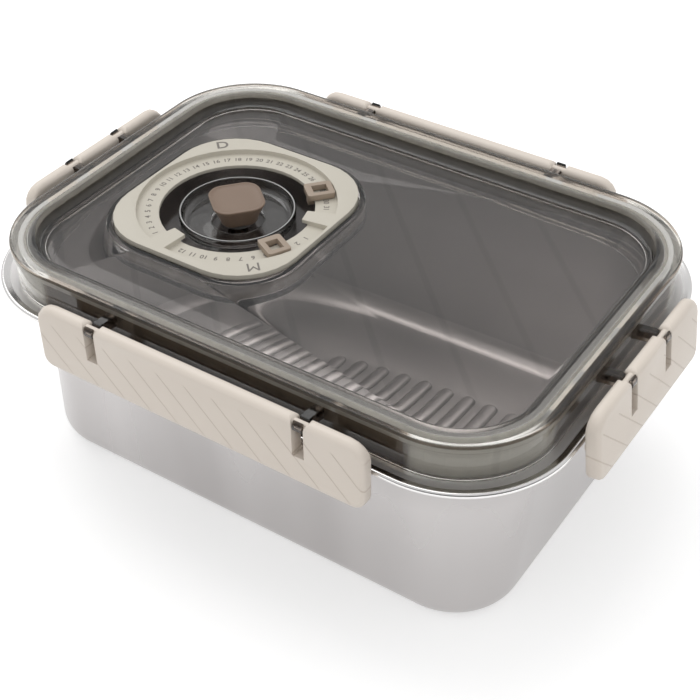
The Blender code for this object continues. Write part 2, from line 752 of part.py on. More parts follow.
def notch_outline(centre_x):
    """Front view of one notch, whose mouth flares round the ears."""
    half = NOTCH_WIDTH / 2
    mouth = half + LATCH_RADIUS
    right_ear = arc((centre_x + mouth, 0), LATCH_RADIUS, 180, 90, 4)
    left_ear = arc((centre_x - mouth, 0), LATCH_RADIUS, 90, 0, 4)
    outline = [(centre_x - half, -NOTCH_DROP), (centre_x + half, -NOTCH_DROP)] + right_ear
    outline += [(centre_x + mouth, 2 * LATCH_RADIUS), (centre_x - mouth, 2 * LATCH_RADIUS)]
    return outline + left_ear


def build_latch_mesh(name, half_length, hook_x):
    """One latch with its pivot on the X axis and its outer face to -Y."""
    blank = add_cutter(name + "_blank", loft(name + "_blank", latch_sections(half_length)))
    notch_half = NOTCH_WIDTH / 2
    face_y = LATCH_WALL - LATCH_RADIUS
    hollow_top = -LATCH_RADIUS - RIB_WALL / 2
    edges = [-half_length + LATCH_WALL]
    for side in (-1, 1):
        edges += [side * hook_x - notch_half - RIB_WALL, side * hook_x + notch_half + RIB_WALL]
    edges += [half_length - LATCH_WALL]
    bays = []
    for start, end in zip(edges[::2], edges[1::2]):
        count = max(1, round((end - start) / (8 * LATCH_WALL)))
        pitch = (end - start + RIB_WALL) / count
        for number in range(count):
            low_x = start + number * pitch
            bays.append(((low_x, face_y, -2 * LATCH_DROP),
                         (low_x + pitch - RIB_WALL, 2 * LATCH_RADIUS, hollow_top)))
    for side in (-1, 1):
        bays.append(((side * hook_x - notch_half, face_y, -2 * LATCH_DROP),
                     (side * hook_x + notch_half, 2 * LATCH_RADIUS, -NOTCH_DROP - RIB_WALL)))
    combine(blank, add_cutter(name + "_bays", box_mesh(name + "_bays", bays)), 'DIFFERENCE')
    catch_top = FLANGE_LOWEST - GAP - PIVOT_HEIGHT
    catch_tip = PIVOT_OFFSET - FLANGE_OFFSET + CATCH_GRIP
    catch = box_mesh(name + "_catch", [((-half_length + LATCH_CORNER, face_y - LATCH_WALL / 2,
                                         catch_top - CATCH_THICKNESS),
                                        (half_length - LATCH_CORNER, catch_tip, catch_top))])
    combine(blank, add_cutter(name + "_catch", catch), 'UNION')
    notches = plate_solid(name + "_notches", [notch_outline(side * hook_x) for side in (-1, 1)],
                          -2 * LATCH_RADIUS, 2 * LATCH_RADIUS)
    notches.transform(Matrix.Rotation(math.radians(90), 4, 'X'))
    combine(blank, add_cutter(name + "_notches", notches), 'DIFFERENCE')
    bars = rod_mesh(name + "_bars", BAR_RADIUS, NOTCH_WIDTH + RIB_WALL,
                    [(side * hook_x, 0.0, 0.0) for side in (-1, 1)])
    combine(blank, add_cutter(name + "_bars", bars), 'UNION')
    settle(blank)
    return blank.data


long_latch = build_latch_mesh("long_latch", LONG_LATCH_HALF, LONG_HOOK_X)
short_latch = build_latch_mesh("short_latch", SHORT_LATCH_HALF, SHORT_HOOK_X)
for latch_name, latch_mesh, reach, turn, ajar in (
        ("latch_front", long_latch, EDGE_HALF_WIDTH, 0, 0.0),
        ("latch_right", short_latch, EDGE_HALF_LENGTH, 90, RIGHT_LATCH_AJAR),
        ("latch_back", long_latch, EDGE_HALF_WIDTH, 180, 0.0),
        ("latch_left", short_latch, EDGE_HALF_LENGTH, 270, 0.0)):
    latch = add_object(latch_name, latch_mesh.copy(), cream)
    place = Matrix.Rotation(math.radians(turn), 4, 'Z') @ Matrix.Translation(
        (0.0, -reach - PIVOT_OFFSET, PIVOT_HEIGHT))
    latch.location = place.to_translation()
    latch.rotation_euler = (math.radians(-ajar), 0.0, math.radians(turn))

bpy.context.view_layer.update()
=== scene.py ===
"""Dresses the stainless steel food container for its picture."""

import math

import bmesh
import bpy
from mathutils import Matrix, Vector


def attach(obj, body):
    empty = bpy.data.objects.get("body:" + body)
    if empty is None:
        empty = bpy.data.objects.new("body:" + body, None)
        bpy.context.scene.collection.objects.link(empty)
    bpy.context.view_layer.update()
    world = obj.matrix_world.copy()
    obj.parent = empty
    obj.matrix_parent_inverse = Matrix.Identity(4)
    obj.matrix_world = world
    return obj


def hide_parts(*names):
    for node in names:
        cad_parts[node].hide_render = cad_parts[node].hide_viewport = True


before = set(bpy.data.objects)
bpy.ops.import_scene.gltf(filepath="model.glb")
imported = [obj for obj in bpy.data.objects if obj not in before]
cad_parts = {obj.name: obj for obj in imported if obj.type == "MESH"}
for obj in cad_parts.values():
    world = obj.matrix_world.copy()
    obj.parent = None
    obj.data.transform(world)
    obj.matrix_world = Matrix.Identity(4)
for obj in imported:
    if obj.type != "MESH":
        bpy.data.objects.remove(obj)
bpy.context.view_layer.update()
MM = 0.001

# Studio: a plain pale floor under the container and white surroundings. What
# the camera sees of both is lifted to white, and the floor keeps the shadow.
FLOOR_SIZE = 3.0
FLOOR_GREY = (0.82, 0.82, 0.82, 1)
FLOOR_LIFT = 0.42


def feed(links, source, entry):
    """Link a socket to an entry, or give the entry a plain value."""
    if isinstance(source, bpy.types.NodeSocket):
        links.new(source, entry)
    else:
        entry.default_value = source


def add_math(nodes, links, operation, *terms):
    """Result of one operation on sockets and numbers."""
    node = nodes.new("ShaderNodeMath")
    node.operation = operation
    for term, entry in zip(terms, node.inputs):
        feed(links, term, entry)
    return node.outputs[0]


def seen_directly(nodes, links):
    """Socket that is 1 for the camera, in reflections and through glass."""
    rays = nodes.new("ShaderNodeLightPath").outputs
    in_view = add_math(nodes, links, 'MAXIMUM', rays["Is Camera Ray"], rays["Is Glossy Ray"])
    return add_math(nodes, links, 'MAXIMUM', in_view, rays["Is Transmission Ray"])


def new_material(name):
    """Material that is made of nodes."""
    material = bpy.data.materials.new(name)
    material.use_nodes = True
    return material


def nodes_of(material):
    """A material's nodes, its links and its shader."""
    tree = material.node_tree
    return tree.nodes, tree.links, tree.nodes["Principled BSDF"]


floor_bmesh = bmesh.new()
bmesh.ops.create_grid(floor_bmesh, x_segments=1, y_segments=1, size=FLOOR_SIZE)
floor_mesh = bpy.data.meshes.new("floor")
floor_bmesh.to_mesh(floor_mesh)
floor_bmesh.free()
floor = bpy.data.objects.new("floor", floor_mesh)
bpy.context.scene.collection.objects.link(floor)
floor_paint = new_material("floor_paint")
nodes, links, shader = nodes_of(floor_paint)
shader.inputs["Base Color"].default_value = FLOOR_GREY
shader.inputs["Roughness"].default_value = 0.9
shader.inputs["Specular IOR Level"].default_value = 0.1
shader.inputs["Emission Color"].default_value = (1, 1, 1, 1)
floor_light = add_math(nodes, links, 'MULTIPLY', seen_directly(nodes, links), FLOOR_LIFT)
links.new(floor_light, shader.inputs["Emission Strength"])
floor_mesh.materials.append(floor_paint)

# Surroundings: in a mirror they are light above, behind and on the dial's side,
# and dark low in front, which gives steel and lid their soft changes of tone.
LIGHT_SIDE = (-0.45, 0.45, 0.77)
DARK_END = -0.35
LIGHT_END = 0.3
DARK_STRENGTH = 0.12
MIRROR_STRENGTH = 0.7
ROOM_STRENGTH = 0.8


def add_range(nodes, links, value, low, high, from_low=0.0, from_high=1.0, smooth=False):
    """Map a value between two limits to two others."""
    node = nodes.new("ShaderNodeMapRange")
    node.interpolation_type = 'SMOOTHSTEP' if smooth else 'LINEAR'
    node.inputs["From Min"].default_value = from_low
    node.inputs["From Max"].default_value = from_high
    node.inputs["To Min"].default_value = low
    node.inputs["To Max"].default_value = high
    links.new(value, node.inputs["Value"])
    return node.outputs["Result"]


world = bpy.data.worlds.new("studio")
bpy.context.scene.world = world
world.use_nodes = True
nodes = world.node_tree.nodes
links = world.node_tree.links
background = nodes["Background"]
background.inputs["Color"].default_value = (1, 1, 1, 1)
room = nodes.new("ShaderNodeTexCoord")
to_light_side = nodes.new("ShaderNodeVectorMath")
to_light_side.operation = 'DOT_PRODUCT'
to_light_side.inputs[1].default_value = LIGHT_SIDE
links.new(room.outputs["Generated"], to_light_side.inputs[0])
graded = add_range(nodes, links, to_light_side.outputs["Value"], DARK_STRENGTH, 1.0,
                   DARK_END, LIGHT_END, smooth=True)
rays = nodes.new("ShaderNodeLightPath").outputs
dimmed = add_range(nodes, links, rays["Is Glossy Ray"], 1.0, MIRROR_STRENGTH)
mirrored = add_math(nodes, links, 'MULTIPLY', dimmed, graded)
shown = add_math(nodes, links, 'MAXIMUM', rays["Is Camera Ray"], mirrored)
surround = nodes.new("ShaderNodeMix")
surround.inputs["A"].default_value = ROOM_STRENGTH
links.new(seen_directly(nodes, links), surround.inputs["Factor"])
links.new(shown, surround.inputs["B"])
links.new(surround.outputs["Result"], background.inputs["Strength"])

# Softbox: one large soft lamp above, on the dial's side. It is about as wide as
# it is far from the container, so that shadows and highlights end softly.
LAMP_WIDTH = 1.2
LAMP_DEPTH = 0.8
LAMP_POWER = 5.0
LAMP_PLACE = (-0.5, 0.3, 1.1)
LAMP_TILT = -25.0

lamp_data = bpy.data.lights.new("key_softbox", 'AREA')
lamp_data.shape = 'RECTANGLE'
lamp_data.size = LAMP_WIDTH
lamp_data.size_y = LAMP_DEPTH
lamp_data.energy = LAMP_POWER
lamp = bpy.data.objects.new("key_softbox", lamp_data)
bpy.context.scene.collection.objects.link(lamp)
tilted = Matrix.Rotation(math.radians(LAMP_TILT), 4, 'Y')
lamp.matrix_world = Matrix.Translation(LAMP_PLACE) @ tilted

# Camera: at the photograph's place and angle, solved from the lid's edges. The
# lens gives the width of the photograph's frame.
VIEW_PLACE = (0.21806, -0.31974, 0.35263)
VIEW_RIGHT = (0.8332, 0.5529, -0.0092)
VIEW_FORWARD = (-0.4315, 0.6396, -0.6362)
SENSOR_WIDTH = 36.0
LENS = 72.65

camera_data = bpy.data.cameras.new("camera")
camera_data.sensor_width = SENSOR_WIDTH
camera_data.lens = LENS
camera_data.clip_start = 0.01
camera = bpy.data.objects.new("camera", camera_data)
bpy.context.scene.collection.objects.link(camera)
forward = Vector(VIEW_FORWARD).normalized()
right = Vector(VIEW_RIGHT)
right = (right - right.dot(forward) * forward).normalized()
facing = Matrix((right, right.cross(forward), -forward)).transposed()
camera.matrix_world = Matrix.Translation(VIEW_PLACE) @ facing.to_4x4()
bpy.context.scene.camera = camera
bpy.context.scene.view_settings.view_transform = 'Standard'

# Tub: one sheet of stainless steel, deep drawn. Its floor has pressed ribs, and
# its mouth turns out into a flange that is curled under at the edge.
EDGE_HALF_LENGTH = 100.0 * MM
EDGE_HALF_WIDTH = 71.0 * MM
EDGE_CORNER = 32.0 * MM
CORNER_CUTS = 24
STEEL_THICKNESS = 0.7 * MM
TUB_RIM = 68.8 * MM
FLOOR_OFFSET = -7.1 * MM
FLOOR_CORNER = 23.5 * MM
FLOOR_FILLET = 7.0 * MM
FLOOR_BORDER = 1.0 * MM
WALL_SHARES = (0.02, 0.25, 0.5, 0.75, 0.98)
MOUTH_OFFSET = -4.3 * MM
MOUTH_CORNER = 35.0 * MM
MOUTH_FILLET = 2.0 * MM
CURL_OFFSET = 5.5 * MM
CURL_HEIGHT = 69.0 * MM
CURL_INSIDE = 0.3 * MM
FLANGE_END = 2.9 * MM
RIB_COUNT = 14
RIB_PITCH = 9.65 * MM
RIB_HALF_LENGTH = 34.0 * MM
RIB_HALF_WIDTH = 2.7 * MM
JOIN_DISTANCE = 0.001 * MM
# Insets and heights of a rib's outline from its foot to its crest, in millimetres.
RIB_SECTIONS = ((0.0, 0.0), (0.15, 0.12), (0.45, 0.75), (0.7, 1.06), (1.05, 1.2))

# Finish of the steel: its broad upright shades; in height, where the painted shade
# under the flange, the painted light on the flange and the polish of the curl
# begin and end, and how far each goes; and the painted highlights and shade on
# the floor's forms.
SHADE_STRETCH = (24, 24, 4)
SHADE_LIMITS = (0.35, 0.65)
SATIN_SPREAD = 0.03
UNDER_FLANGE = (48.0 * MM, 66.0 * MM)
UNDER_FLANGE_PAINTED_SHADE = 0.8
FLANGE_EDGE = (TUB_RIM - 0.8 * MM, TUB_RIM - 0.3 * MM)
FLANGE_LIGHT_AND_MATT = 1.6
CURL_TOP = (TUB_RIM + 0.1 * MM, TUB_RIM + 0.4 * MM)
CURL_POLISH = 3.0
PAINTED_FILLET_SHEEN = 2.0
PAINTED_CREST_SHEEN = 1.0
PAINTED_FLOOR_SHADE = -0.5
PAINTED_FOOT_SHADE = -1.0


def start_ring(bm):
    """Ring of points with the same number in each corner."""
    return bmesh.ops.create_circle(bm, segments=4 * (CORNER_CUTS + 1), radius=1.0)["verts"]


def lay_ring(ring, half_x, half_y, corner, height, centre_x=0.0):
    """Lay a ring of points round a rounded rectangle at one height."""
    for index, point in enumerate(ring):
        quarter, cut = divmod(index, CORNER_CUTS + 1)
        side_x = (1, -1, -1, 1)[quarter]
        side_y = (1, 1, -1, -1)[quarter]
        turn = math.radians(90 * (quarter + cut / CORNER_CUTS))
        point.co = (centre_x + side_x * (half_x - corner) + corner * math.cos(turn),
                    side_y * (half_y - corner) + corner * math.sin(turn), height)


def ring_edges(bm, ring):
    """Edges between neighbouring points of a ring."""
    return [bm.edges.get((ring[index - 1], ring[index])) for index in range(len(ring))]


def draw_through(bm, ring, sections):
    """Pull a ring of points through the sections, one wall at a time."""
    for section in sections:
        pulled = bmesh.ops.extrude_edge_only(bm, edges=ring_edges(bm, ring))["geom"]
        fresh = {item for item in pulled if isinstance(item, bmesh.types.BMVert)}
        ring = [next(edge.other_vert(point) for edge in point.link_edges
                     if edge.other_vert(point) in fresh) for point in ring]
        lay_ring(ring, *section)
    return ring


def arc(centre, radius, start, end, steps):
    """Points of an arc in a profile, angles in degrees."""
    angles = [math.radians(start + (end - start) * step / steps) for step in range(steps + 1)]
    return [(centre[0] + radius * math.cos(angle), centre[1] + radius * math.sin(angle))
            for angle in angles]


def part_way(first, last, share):
    """Value at a share of the way from the first to the last."""
    return first + (last - first) * share


def edge_section(offset, height, corner=None):
    """The lid's edge outline, grown by an offset, at one height."""
    radius = EDGE_CORNER + offset if corner is None else corner
    return (EDGE_HALF_LENGTH + offset, EDGE_HALF_WIDTH + offset, radius, height)


def finish_piece(name, bm, material):
    """Make a smooth piece of a bmesh, with its points joined."""
    bmesh.ops.remove_doubles(bm, verts=bm.verts, dist=JOIN_DISTANCE)
    bmesh.ops.recalc_face_normals(bm, faces=bm.faces)
    mesh = bpy.data.meshes.new(name)
    bm.to_mesh(mesh)
    bm.free()
    mesh.materials.append(material)
    mesh.shade_smooth()
    piece = bpy.data.objects.new(name, mesh)
    bpy.context.scene.collection.objects.link(piece)
    return piece


def add_noise(nodes, links, position, detail):
    """Noise texture over a position socket."""
    noise = nodes.new("ShaderNodeTexNoise")
    noise.inputs["Detail"].default_value = detail
    links.new(position, noise.inputs["Vector"])
    return noise


def add_mix(nodes, links, blend, factor, first, second):
    """Two colours, mixed or multiplied as far as the factor says."""
    mix = nodes.new("ShaderNodeMix")
    mix.data_type = 'RGBA'
    mix.blend_type = blend
    feed(links, factor, mix.inputs["Factor"])
    feed(links, first, mix.inputs["A"])
    feed(links, second, mix.inputs["B"])
    return mix.outputs["Result"]


def satin_steel(name, dark, light, roughness, painted_sheen):
    """Drawn steel with broad upright shades, and painted light and shade on flange and floor."""
    material = new_material(name)
    nodes, links, shader = nodes_of(material)
    shader.inputs["Metallic"].default_value = 1.0
    coordinates = nodes.new("ShaderNodeTexCoord")
    stretch = nodes.new("ShaderNodeMapping")
    stretch.inputs["Scale"].default_value = SHADE_STRETCH
    links.new(coordinates.outputs["Object"], stretch.inputs["Vector"])
    upright_shades = add_noise(nodes, links, stretch.outputs["Vector"], 1.0)
    upright_shades.inputs["Scale"].default_value = 1.0
    contrast = add_range(nodes, links, upright_shades.outputs["Fac"], 0.0, 1.0, *SHADE_LIMITS)
    parts = nodes.new("ShaderNodeSeparateXYZ")
    links.new(coordinates.outputs["Object"], parts.inputs["Vector"])
    height = parts.outputs["Z"]
    # Painted shade under the flange; painted light on the flange and curl, which are also more matt.
    painted_shade_under_flange = add_range(nodes, links, height, 1.0, UNDER_FLANGE_PAINTED_SHADE, *UNDER_FLANGE)
    flange_light_and_matt = add_range(nodes, links, height, 1.0, FLANGE_LIGHT_AND_MATT, *FLANGE_EDGE)
    on_curl = add_range(nodes, links, height, 1.0, CURL_POLISH, *CURL_TOP)
    # Painted highlights on the floor's fillet and rib crests, painted shade on the flat floor and rib feet.
    sheen_paint = nodes.new("ShaderNodeAttribute")
    sheen_paint.attribute_name = "pressed"
    form_light_and_shade = add_range(nodes, links, sheen_paint.outputs["Fac"], 1 - painted_sheen, 1 + painted_sheen,
                       PAINTED_FOOT_SHADE, PAINTED_CREST_SHEEN)
    on_fillet = add_range(nodes, links, sheen_paint.outputs["Fac"], 1.0, 1 + painted_sheen / 2,
                          PAINTED_CREST_SHEEN, PAINTED_FILLET_SHEEN)
    colour = add_mix(nodes, links, 'MIX', contrast, (*dark, 1), (*light, 1))
    for factor in (painted_shade_under_flange, form_light_and_shade, flange_light_and_matt):
        shade = nodes.new("ShaderNodeVectorMath")
        shade.operation = 'SCALE'
        links.new(colour, shade.inputs[0])
        links.new(factor, shade.inputs["Scale"])
        colour = shade.outputs["Vector"]
    links.new(colour, shader.inputs["Base Color"])
    matt = add_range(nodes, links, contrast, roughness - SATIN_SPREAD, roughness + SATIN_SPREAD)
    for factor in (on_fillet, flange_light_and_matt):
        matt = add_math(nodes, links, 'MULTIPLY', matt, factor)
    links.new(add_math(nodes, links, 'DIVIDE', matt, on_curl), shader.inputs["Roughness"])
    return material


# The inside of the sheet is the same steel as the outside, painted lighter, and only it carries the painted
# light and shade on the floor's forms.
steel = satin_steel("satin_steel", dark=(0.49, 0.47, 0.465), light=(0.60, 0.58, 0.575),
                    roughness=0.27, painted_sheen=0.0)
steel_inside = satin_steel("satin_steel_inside", dark=(0.64, 0.63, 0.625), light=(0.70, 0.69, 0.685),
                           roughness=0.34, painted_sheen=0.4)

fillet_centre = (FLOOR_OFFSET - FLOOR_FILLET, FLOOR_FILLET)
mouth_centre = (MOUTH_OFFSET + MOUTH_FILLET, TUB_RIM - STEEL_THICKNESS - MOUTH_FILLET)
fillet = arc(fillet_centre, FLOOR_FILLET, -90, 0, 10)
mouth = arc(mouth_centre, MOUTH_FILLET, 180, 90, 6)
tub_sections = [edge_section(offset, height, FLOOR_CORNER + offset - FLOOR_OFFSET)
                for offset, height in fillet]
for share in WALL_SHARES:
    offset, height = (part_way(low, high, share) for low, high in zip(fillet[-1], mouth[0]))
    tub_sections.append(edge_section(offset, height, part_way(FLOOR_CORNER, MOUTH_CORNER, share)))
tub_sections += [edge_section(offset, height, MOUTH_CORNER + offset - MOUTH_OFFSET)
                 for offset, height in mouth]
tub_sections.append(edge_section(FLANGE_END, TUB_RIM - STEEL_THICKNESS))
tub_sections += [edge_section(offset, height)
                 for offset, height in arc((CURL_OFFSET, CURL_HEIGHT), CURL_INSIDE, 120, -135, 10)]

tub_bmesh = bmesh.new()
floor_ring = start_ring(tub_bmesh)
lay_ring(floor_ring, *edge_section(fillet[0][0] - FLOOR_BORDER, 0.0,
                                   FLOOR_CORNER - FLOOR_FILLET - FLOOR_BORDER))
draw_through(tub_bmesh, floor_ring, tub_sections)
# The 'pressed' map holds painted light and shade: highlights on the fillet, shade on the flat floor.
sheen_layer = tub_bmesh.verts.layers.float.new("pressed")
for point in tub_bmesh.verts:
    if 0.1 * MM < point.co.z < 0.9 * FLOOR_FILLET:
        point[sheen_layer] = PAINTED_FILLET_SHEEN
    elif point.co.z <= FLOOR_FILLET:
        point[sheen_layer] = PAINTED_FLOOR_SHADE
for number in range(RIB_COUNT):
    rib_x = (number - (RIB_COUNT - 1) / 2) * RIB_PITCH
    rib_sections = [(RIB_HALF_WIDTH - inset * MM, RIB_HALF_LENGTH - inset * MM,
                     RIB_HALF_WIDTH - inset * MM, height * MM, rib_x)
                    for inset, height in RIB_SECTIONS]
    rib_ring = start_ring(tub_bmesh)
    around = FLOOR_BORDER / 2
    lay_ring(rib_ring, RIB_HALF_WIDTH + around, RIB_HALF_LENGTH + around,
             RIB_HALF_WIDTH + around, 0.0, rib_x)
    foot = draw_through(tub_bmesh, rib_ring, rib_sections[:1])
    crest = draw_through(tub_bmesh, foot, rib_sections[1:])
    # Painted shade at each rib's foot and a painted highlight on its crest.
    for point in foot:
        point[sheen_layer] = PAINTED_FOOT_SHADE
    for point in crest:
        point[sheen_layer] = PAINTED_CREST_SHEEN
    bmesh.ops.edgeloop_fill(tub_bmesh, edges=ring_edges(tub_bmesh, crest))
bmesh.ops.remove_doubles(tub_bmesh, verts=tub_bmesh.verts, dist=JOIN_DISTANCE)
outlines = [edge for edge in tub_bmesh.edges
            if edge.is_boundary and edge.verts[0].co.z < JOIN_DISTANCE]
bmesh.ops.triangle_fill(tub_bmesh, use_beauty=True, edges=outlines, normal=(0, 0, -1))
tub = finish_piece("steel_tub", tub_bmesh, steel)
tub.data.materials.append(steel_inside)
lowest_face = min(tub.data.polygons, key=lambda face: face.center.z)
if lowest_face.normal.z > 0:
    tub.data.flip_normals()
sheet = tub.modifiers.new("Sheet", 'SOLIDIFY')
sheet.thickness = STEEL_THICKNESS
sheet.offset = -1.0
sheet.material_offset = 1
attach(tub, "container")
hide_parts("tub")

# Gasket and vent washer: silicone rings, moulded. The pale gasket fills the
# channel under the lid's band, and the grey washer closes the vent hole.
MOULDING_CLOUD = 14 * MM
MOULDING_SPREAD = 0.06


def moulded_grain():
    """Group that gives the fine grain and the faint clouds of a moulding."""
    group = bpy.data.node_groups.new("moulded_grain", 'ShaderNodeTree')
    for name in ("Grain", "Cloud"):
        group.interface.new_socket(name + " size", in_out='INPUT', socket_type='NodeSocketFloat')
        group.interface.new_socket(name, in_out='OUTPUT', socket_type='NodeSocketFloat')
    sizes = group.nodes.new("NodeGroupInput")
    results = group.nodes.new("NodeGroupOutput")
    place = group.nodes.new("ShaderNodeTexCoord")
    for name, detail in (("Grain", 4.0), ("Cloud", 2.0)):
        scale = add_math(group.nodes, group.links, 'DIVIDE', 1.0, sizes.outputs[name + " size"])
        noise = add_noise(group.nodes, group.links, place.outputs["Object"], detail)
        group.links.new(scale, noise.inputs["Scale"])
        group.links.new(noise.outputs["Fac"], results.inputs[name])
    return group


grain_group = moulded_grain()


def grain_in(nodes, grain_size, cloud_size):
    """Place the grain group in a material with its two sizes."""
    grain = nodes.new("ShaderNodeGroup")
    grain.node_tree = grain_group
    grain.inputs["Grain size"].default_value = grain_size
    grain.inputs["Cloud size"].default_value = cloud_size
    return grain.outputs


def add_bump(nodes, links, height, distance, shader, strength=1.0):
    """Bump from a height socket into a shader."""
    bump = nodes.new("ShaderNodeBump")
    bump.inputs["Distance"].default_value = distance
    bump.inputs["Strength"].default_value = strength
    links.new(height, bump.inputs["Height"])
    links.new(bump.outputs["Normal"], shader.inputs["Normal"])
    return bump


def new_moulding(name, dark, light, roughness, grain_size, depth):
    """Opaque moulded plastic or silicone."""
    material = new_material(name)
    nodes, links, shader = nodes_of(material)
    grain = grain_in(nodes, grain_size, MOULDING_CLOUD)
    colour = add_mix(nodes, links, 'MIX', grain["Cloud"], (*dark, 1), (*light, 1))
    links.new(colour, shader.inputs["Base Color"])
    matt = add_range(nodes, links, grain["Grain"], roughness - MOULDING_SPREAD, roughness + MOULDING_SPREAD)
    links.new(matt, shader.inputs["Roughness"])
    add_bump(nodes, links, grain["Grain"], depth, shader)
    return material


pale_silicone = new_moulding("pale_silicone", dark=(0.74, 0.73, 0.70), light=(0.82, 0.81, 0.78),
                             roughness=0.5, grain_size=0.5 * MM, depth=0.01 * MM)
grey_silicone = new_moulding("grey_silicone", dark=(0.10, 0.095, 0.09), light=(0.14, 0.135, 0.13),
                             roughness=0.5, grain_size=0.5 * MM, depth=0.01 * MM)
for node, silicone in (("gasket", pale_silicone), ("vent_seal", grey_silicone)):
    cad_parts[node].data.materials.clear()
    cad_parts[node].data.materials.append(silicone)

# Lid: one smoky clear moulding with a flat band, a recessed panel, a skirt, a
# guide wall and a sunken well for the dial. Faint strips cross the panel.
LID_TOP = 83.5 * MM
LID_WALL = 2.2 * MM
BAND_WIDTH = 6.0 * MM
PANEL_TOP = LID_TOP - 4.5 * MM
PANEL_FILLET = 3.2 * MM
PANEL_SHOULDER = 1.4 * MM
LIP_OFFSET = 1.5 * MM
LIP_FOOT = LID_TOP - 2.7 * MM
LIP_ROUNDING = 1.0 * MM
SKIRT_OFFSET = 0.5 * MM
SKIRT_WALL = 2.0 * MM
SKIRT_BOTTOM = 69.2 * MM
GUIDE_OFFSET = -5.9 * MM
GUIDE_WALL = 2.0 * MM
GUIDE_BOTTOM = LID_TOP - 16.4 * MM
DIAL_X = -44.3 * MM
WELL_HALF_LENGTH = 36.5 * MM
WELL_HALF_WIDTH = 38.3 * MM
WELL_CORNER = 22.7 * MM
WELL_WALL = 2.0 * MM
WELL_FLOOR = LID_TOP - 11.5 * MM
WELL_ROUNDING = 0.8 * MM
VENT_RADIUS = 3.4 * MM
SOFT_EDGE = 0.4 * MM
STRIP_PITCH = 32.6 * MM
STRIP_WIDTH = 2.8 * MM
STRIP_EDGE = 0.2 * MM
STRIP_START = -66.0 * MM
STRIP_TINT = (0.94, 0.94, 0.94, 1)
CLEAR_GRAIN = 1.2 * MM
CLEAR_CLOUD = 40 * MM
CLOUD_SHADE = 0.94
LEAST_HAZE = 0.7
MOST_HAZE = 1.5
MARK_DEPTH = 0.0004 * MM
MARK_STRENGTH = 0.4

# Tints of the lid: a colour, and a polish from 0, satin, to 1, glossy. The edge
# tint stands for thick edges. The other dark ones are painted shade: at the lip's
# foot and rounded top edge, on the skirt behind the latches, in the gap round the
# well and in the well itself.
SATIN = 0.25
GLOSSY = 0.03
PANEL_TINT = (0.88, 0.84, 0.825, 1)
SKIRT_TINT = (0.80, 0.78, 0.73, 1)
BAND_TINT = (0.94, 0.925, 0.88, 0)
EDGE_TINT = (0.30, 0.28, 0.26, 1)
SHADED_TINT = (0.19, 0.145, 0.11, 1)
SEAM_SHADE = (0.12, 0.11, 0.10, 1)
WELL_SHADE = (0.30, 0.28, 0.27, 1)
BAND_SIDE = 9.5 * MM
SEAM_WIDTH = 1.3 * MM


def outline_distance(point, half_x, half_y, corner, centre_x=0.0):
    """How far a point lies outside a rounded rectangle, seen from above."""
    along = abs(point.x - centre_x) - half_x + corner
    across = abs(point.y) - half_y + corner
    return math.hypot(max(along, 0), max(across, 0)) + min(max(along, across), 0) - corner


def tint_of(place):
    """Tint of the lid at a place on its surface, painted shade included."""
    from_edge = outline_distance(place, EDGE_HALF_LENGTH, EDGE_HALF_WIDTH, EDGE_CORNER)
    from_well = outline_distance(place, WELL_HALF_LENGTH, WELL_HALF_WIDTH, WELL_CORNER, DIAL_X)
    beside_corners = (abs(place.x) < EDGE_HALF_LENGTH - EDGE_CORNER + SOFT_EDGE
                      or abs(place.y) < EDGE_HALF_WIDTH - EDGE_CORNER + SOFT_EDGE)
    outside_skirt = from_edge > SKIRT_OFFSET + SOFT_EDGE
    at_lip_ends = place.z < LIP_FOOT + 0.9 * SOFT_EDGE or place.z > LID_TOP - 0.9 * LIP_ROUNDING
    at_seam = -SOFT_EDGE < from_well < SEAM_WIDTH + SOFT_EDGE / 2
    # Painted shade: in the gap round the well, in the well, at the lip's ends and on the skirt behind the
    # latches.
    if at_seam and place.z > PANEL_TOP - 4 * SOFT_EDGE:
        return SEAM_SHADE
    if from_well < -SOFT_EDGE:
        return WELL_SHADE
    if outside_skirt and at_lip_ends:
        return SHADED_TINT
    if -BAND_SIDE < from_edge < -BAND_WIDTH - SOFT_EDGE / 2:
        return EDGE_TINT
    if from_edge > -SKIRT_WALL and place.z < LIP_FOOT and beside_corners:
        return SHADED_TINT
    if from_edge <= -BAND_SIDE:
        return PANEL_TINT
    return BAND_TINT if place.z > LID_TOP - SOFT_EDGE / 4 else SKIRT_TINT


def well_section(growth, height):
    """Outline of the dial well, grown all round, at one height."""
    return (WELL_HALF_LENGTH + growth, WELL_HALF_WIDTH + growth, WELL_CORNER + growth, height, DIAL_X)


def dial_circle(radius, height):
    """Circle about the middle of the dial, at one height."""
    return (radius, radius, radius, height, DIAL_X)


def line_distance(nodes, links, position, pitch):
    """Distance of a position from the nearest of evenly spaced lines."""
    wrapped = add_math(nodes, links, 'WRAP', position, pitch / 2, -pitch / 2)
    return add_math(nodes, links, 'ABSOLUTE', wrapped)


def smoky_plastic(name, tint, roughness=None, refraction=1.49):
    """Clear moulded plastic with faint clouds, and with fine marks on its polish."""
    material = new_material(name)
    nodes, links, shader = nodes_of(material)
    shader.inputs["Transmission Weight"].default_value = 1.0
    shader.inputs["IOR"].default_value = refraction
    grain = grain_in(nodes, CLEAR_GRAIN, CLEAR_CLOUD)
    darker = tuple(CLOUD_SHADE * part for part in tint)
    colour = add_mix(nodes, links, 'MIX', grain["Cloud"], (*darker, 1), (*tint, 1))
    links.new(colour, shader.inputs["Base Color"])
    if roughness:
        haze = add_range(nodes, links, grain["Grain"], roughness * LEAST_HAZE, roughness * MOST_HAZE)
        links.new(haze, shader.inputs["Roughness"])
    add_bump(nodes, links, grain["Grain"], MARK_DEPTH, shader, MARK_STRENGTH)
    return material


